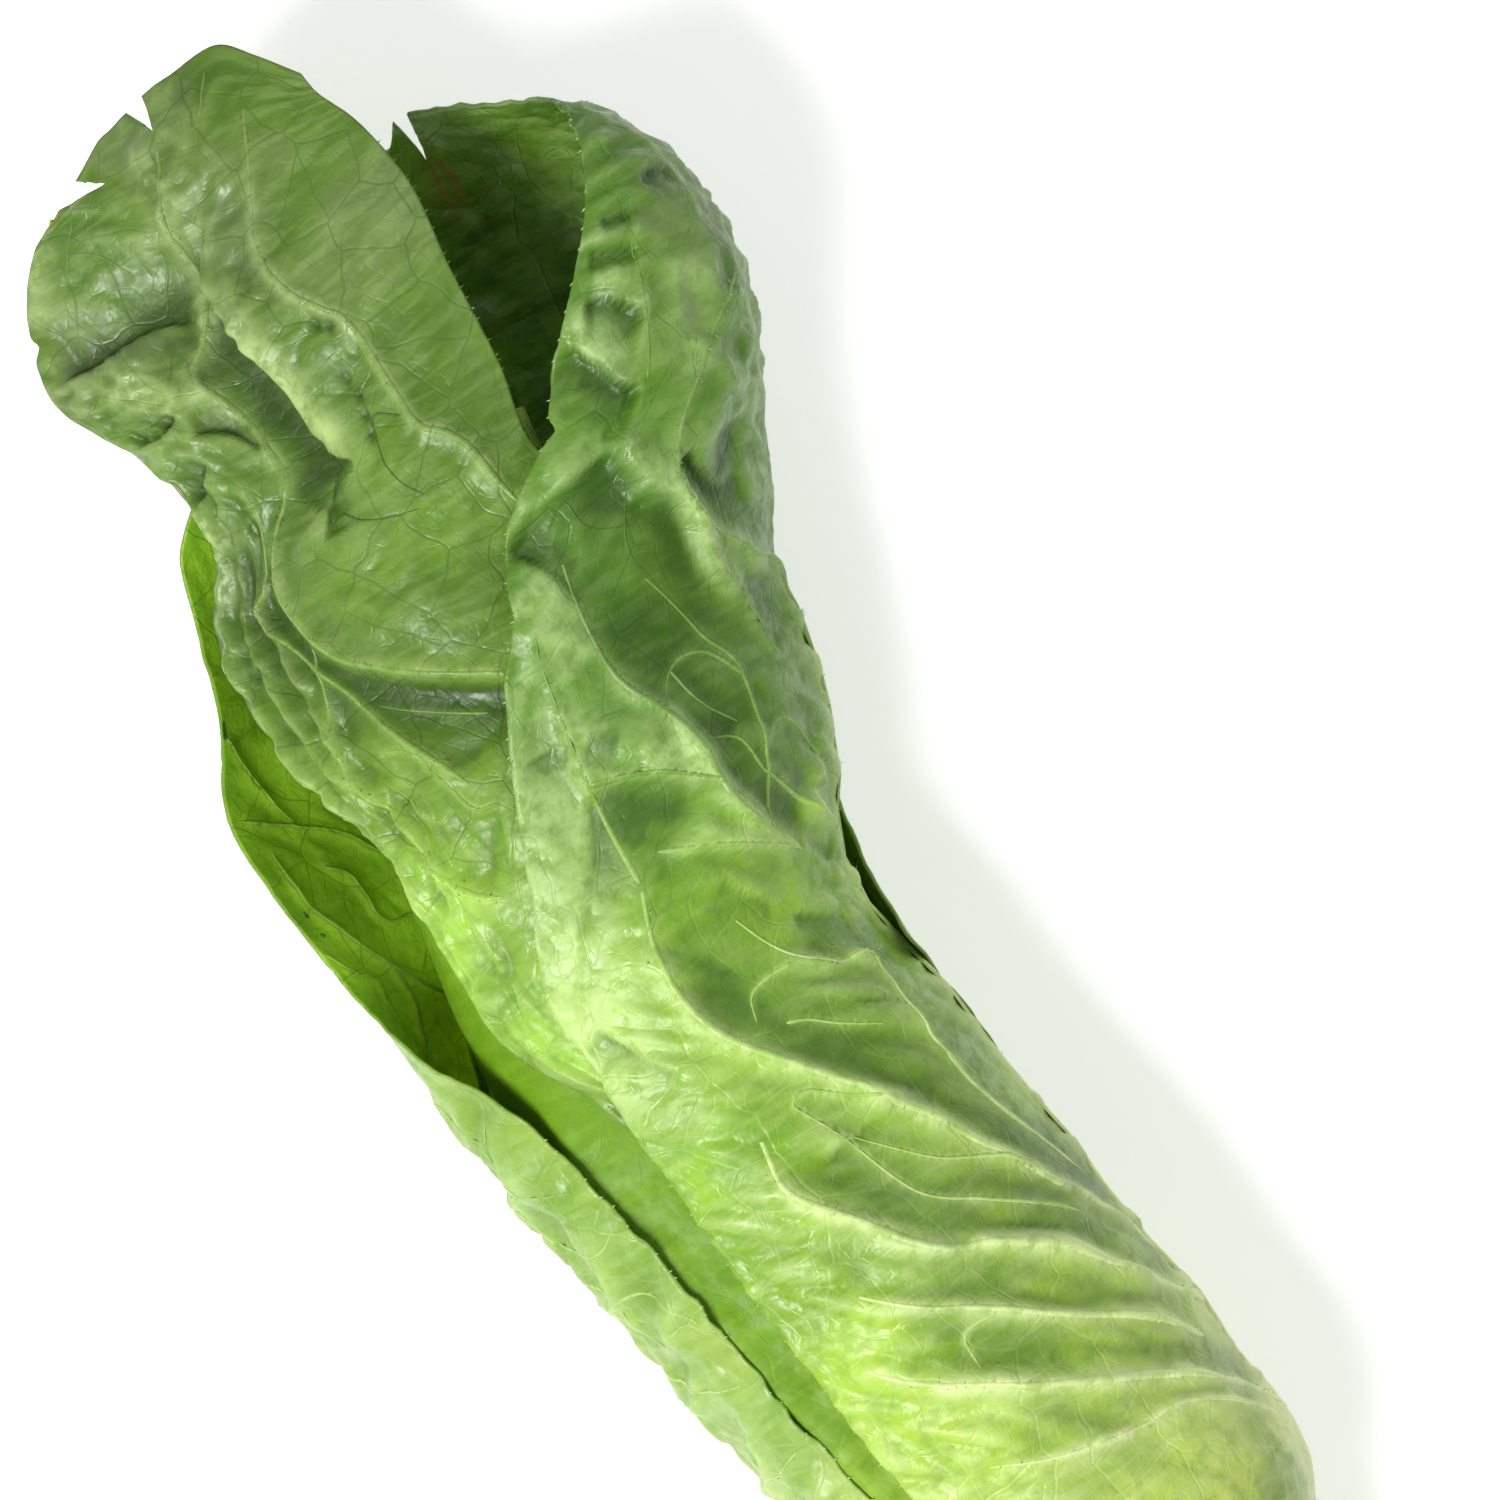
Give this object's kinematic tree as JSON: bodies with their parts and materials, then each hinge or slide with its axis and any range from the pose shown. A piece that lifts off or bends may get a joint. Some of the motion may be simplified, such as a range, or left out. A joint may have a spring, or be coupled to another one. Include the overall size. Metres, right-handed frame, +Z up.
{
  "type": "sugarloaf chicory",
  "caption": "Long head of sugarloaf chicory lying on its side, wrapped in broad ribbed leaves, with a hooded front leaf and a crumpled leaf at the tip.",
  "frame": {"origin": "middle of the flat belly that the head rests on", "axes": "+X along the head from the cut stem to the leaf tips, +Y to the left of that, +Z up"},
  "size_m": [0.4164, 0.1488, 0.0895],
  "materials": {
    "stem": "moist cut plant stem, matt",
    "outer_leaf": "waxy green leaf",
    "front_leaf": "waxy light green leaf with pale veins",
    "curled_leaf": "waxy dull green leaf with pale hairy ribs",
    "middle_leaf": "smooth yellow green leaf",
    "heart_leaf": "smooth pale yellow leaf"
  },
  "bodies": {
    "root": {"stem": "stem", "under_leaf": "outer_leaf", "right_outer_leaf": "outer_leaf", "left_outer_leaf": "outer_leaf", "front_leaf": "front_leaf", "curled_leaf": "curled_leaf", "left_middle_leaf": "middle_leaf", "top_middle_leaf": "middle_leaf", "right_middle_leaf": "middle_leaf", "back_middle_leaf": "middle_leaf", "heart_leaf_1": "heart_leaf", "heart_leaf_2": "heart_leaf", "heart_leaf_3": "heart_leaf", "heart_leaf_4": "heart_leaf", "heart_leaf_5": "heart_leaf", "heart_leaf_6": "heart_leaf"}
  },
  "joints": []
}
